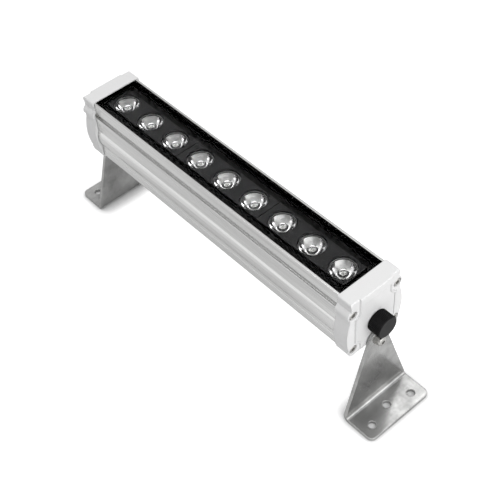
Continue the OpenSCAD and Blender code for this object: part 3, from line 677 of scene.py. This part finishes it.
class WASHER_OT_inside(bpy.types.Operator):
    """Finish the boards, the driver's components and the wires"""

    bl_idname = "washer.inside"
    bl_label = "Finish Inner Pieces"

    def execute(self, context):
        s = context.scene.washer_inside
        leads = ("led_leads", "link_leads")
        cases = moulded("component_grey", s.component, grain=0.0006, roughness=0.45, specular=0.5)
        dress(circuit_board("board_white", s.led_board, s.led_track, s.led_pads), "led_board")
        dress(circuit_board("board_green", s.driver_board, s.driver_track), "driver_board")
        dress(cases, "driver_components")
        dress(moulded("wire_red", s.wire, grain=0.0005, roughness=0.4, specular=0.5), *leads)
        smooth("driver_components", *leads, angle=30)
        return {"FINISHED"}


# Studio

# What the camera and the metal see of the floor. Its glow comes on top of the light that falls on it.
FLOOR_GLOW = 0.76
MIRRORED_GLOW = 0.85
CONTACT_DARKNESS = 3.2
CONTACT_SAMPLES = 12

# The mirrored glow grows with the distance from the light's middle, more slowly towards the far end
GLOW_START = -0.15
GLOW_END = 0.7
FAR_END_SHARE = 0.5

# Pale grey of the surround, how much its light falls with height and rises towards the near end,
# and the share of the even grey that shows in metal
SURROUND = (0.8, 0.8, 0.8, 1.0)
SKY_FALL = -0.18
SKY_SIDE = 0.14
MIRRORED_SKY = 0.8

# Camera fitted to the photograph: angles in degrees, place in metres, the picture's size and axis in pixels
CAMERA_AZIMUTH = 52.455
CAMERA_HEIGHT = 52.011
CAMERA_ROLL = -5.376
CAMERA_PLACE = (0.478614, -0.348083, 0.689147)
CAMERA_SENSOR_MM = 36.0
CAMERA_CLIP = 0.01
PICTURE = (500, 500)
PICTURE_AXIS = (262, 330)


def floor_material(s):
    """Pale floor that the camera sees as white. It keeps its shadows, and is mirrored brighter further out."""
    material, tree, put = start("studio_floor")
    marks = effect(tree, "blotches", per_metre=3.0, Amount=0.2)
    tree.put(put["Base Color"], tinted(tree, marks["Mask"], s.floor, low=1.0, high=0.985))
    put["Roughness"].default_value = 0.9
    put["Specular IOR Level"].default_value = 0.0
    contact = tree.add("ShaderNodeAmbientOcclusion", {"samples": CONTACT_SAMPLES})
    contact.inputs["Distance"].default_value = s.contact
    open_floor = tree.math("POWER", contact.outputs["AO"], CONTACT_DARKNESS)
    path = tree.add("ShaderNodeLightPath").outputs
    seen = tree.math("MAXIMUM", path["Is Camera Ray"], path["Is Transmission Ray"])
    shown = tree.math("MULTIPLY", seen, tree.math("MULTIPLY", open_floor, FLOOR_GLOW))
    x, y, _ = tree.axes(tree.place())
    along = tree.math("MAXIMUM", x, tree.math("MULTIPLY", x, FAR_END_SHARE))
    far = tree.ramp(tree.reach(along, y), start=GLOW_START, end=GLOW_END, kind="SMOOTHSTEP")
    glow = tree.math("MULTIPLY", tree.math("MULTIPLY", far, open_floor), MIRRORED_GLOW)
    mirrored = tree.math("MULTIPLY", path["Is Glossy Ray"], glow)
    put["Emission Color"].default_value = WHITE
    tree.put(put["Emission Strength"], tree.math("MAXIMUM", shown, mirrored))
    return material


def sky(scene, s):
    """Studio surround: even pale grey for the camera, and light that is palest at the horizon."""
    world = bpy.data.worlds.new("studio")
    scene.world = world
    world.use_nodes = True
    world.node_tree.nodes.clear()
    tree = Tree(world.node_tree)
    x, _, z = tree.axes(tree.add("ShaderNodeTexCoord").outputs["Generated"])
    fall = tree.math("MULTIPLY", tree.math("ABSOLUTE", z), SKY_FALL)
    side = tree.math("MULTIPLY", x, SKY_SIDE)
    level = tree.math("ADD", fall, tree.math("ADD", side, 1.0))
    light = tree.add("ShaderNodeBackground", Color=SURROUND, Strength=tree.math("MULTIPLY", level, s.sky))
    backdrop = tree.add("ShaderNodeBackground", Color=SURROUND, Strength=1.0)
    path = tree.add("ShaderNodeLightPath").outputs
    seen = tree.math("MAXIMUM", path["Is Camera Ray"], path["Is Transmission Ray"])
    seen = tree.math("MAXIMUM", seen, tree.math("MULTIPLY", path["Is Glossy Ray"], MIRRORED_SKY))
    both = tree.add("ShaderNodeMixShader", Fac=seen)
    tree.put(both.inputs[1], light.outputs["Background"])
    tree.put(both.inputs[2], backdrop.outputs["Background"])
    tree.add("ShaderNodeOutputWorld", Surface=both.outputs["Shader"])


def lay_floor(context, s):
    """A square floor at the height of the feet's undersides."""
    half = s.floor_size / 2
    mesh = bpy.data.meshes.new("studio_floor")
    corners = [(-half, -half, 0), (half, -half, 0), (half, half, 0), (-half, half, 0)]
    mesh.from_pydata(corners, [], [(0, 1, 2, 3)])
    mesh.materials.append(floor_material(s))
    floor = bpy.data.objects.new("studio_floor", mesh)
    context.scene.collection.objects.link(floor)


def area_lamp(name, place, aim, size, watts):
    """A soft square lamp at place that points at aim."""
    data = bpy.data.lights.new(name, "AREA")
    data.shape = "SQUARE"
    data.size = size
    data.energy = watts
    lamp = bpy.data.objects.new(name, data)
    lamp.location = place
    lamp.rotation_euler = (Vector(aim) - Vector(place)).to_track_quat("-Z", "Y").to_euler()
    bpy.context.scene.collection.objects.link(lamp)


def photo_camera(s):
    """Camera at the photograph's angle."""
    azimuth, height, roll = (math.radians(angle) for angle in (CAMERA_AZIMUTH, CAMERA_HEIGHT, CAMERA_ROLL))
    out = math.cos(height)
    back = Vector((math.sin(azimuth) * out, -math.cos(azimuth) * out, math.sin(height)))
    level = Vector((0, 0, 1)).cross(back).normalized()
    up = back.cross(level)
    right = level * math.cos(roll) + up * math.sin(roll)
    top = -level * math.sin(roll) + up * math.cos(roll)
    turn = Matrix((right, top, back)).transposed()
    width, tall = PICTURE
    data = bpy.data.cameras.new("photo_camera")
    data.sensor_fit = "HORIZONTAL"
    data.sensor_width = CAMERA_SENSOR_MM
    data.lens = s.focal * data.sensor_width
    data.shift_x = (width / 2 - PICTURE_AXIS[0]) / width
    data.shift_y = (PICTURE_AXIS[1] - tall / 2) / width
    data.clip_start = CAMERA_CLIP
    camera = bpy.data.objects.new("photo_camera", data)
    camera.matrix_world = Matrix.Translation(CAMERA_PLACE) @ turn.to_4x4()
    bpy.context.scene.collection.objects.link(camera)
    bpy.context.scene.camera = camera


class WASHER_OT_studio(bpy.types.Operator):
    """Set up the floor, the lamps, the surround and the camera"""

    bl_idname = "washer.studio"
    bl_label = "Set Up Studio"

    def execute(self, context):
        s = context.scene.washer_studio
        lay_floor(context, s)
        sky(context.scene, s)
        middle = (0, 0, 0.06)
        area_lamp("key_lamp", place=(1.25, -0.3, 0.75), aim=middle, size=1.1, watts=s.key)
        area_lamp("edge_lamp", place=(1.2, 0.6, 0.6), aim=(0.15, 0, 0.03), size=0.8, watts=s.edge)
        area_lamp("top_lamp", place=(-0.2, 0.1, 1.7), aim=middle, size=1.4, watts=s.top)
        photo_camera(s)
        context.scene.view_settings.view_transform = "Standard"
        return {"FINISHED"}


# Panel and registration

OPERATORS = (
    WASHER_OT_metals,
    WASHER_OT_end_caps,
    WASHER_OT_plastics,
    WASHER_OT_optics,
    WASHER_OT_inside,
    WASHER_OT_studio,
)


class WASHER_PT_panel(bpy.types.Panel):
    """Finishes and studio of the wall washer light"""

    bl_idname = "WASHER_PT_panel"
    bl_label = "Wall Washer Light"
    bl_space_type = "VIEW_3D"
    bl_region_type = "UI"
    bl_category = "Washer"

    def draw(self, context):
        for key, settings in SETTINGS.items():
            box = self.layout.box()
            box.label(text=settings.__doc__)
            for name in settings.__annotations__:
                box.prop(getattr(context.scene, key), name)
        for operator in OPERATORS:
            self.layout.operator(operator.bl_idname)


CLASSES = tuple(SETTINGS.values()) + OPERATORS + (WASHER_PT_panel,)


def register():
    for cls in CLASSES:
        bpy.utils.register_class(cls)
    for key, settings in SETTINGS.items():
        setattr(bpy.types.Scene, key, PointerProperty(type=settings))


def unregister():
    for key in SETTINGS:
        delattr(bpy.types.Scene, key)
    for cls in reversed(CLASSES):
        bpy.utils.unregister_class(cls)


def main():
    """Dresses the object and sets the studio."""
    register()
    for operator in OPERATORS:
        group_name, call = operator.bl_idname.split(".")
        result = getattr(getattr(bpy.ops, group_name), call)()
        if result != {"FINISHED"}:
            raise RuntimeError(operator.bl_label + " did not finish")


if __name__ == "__main__":
    main()
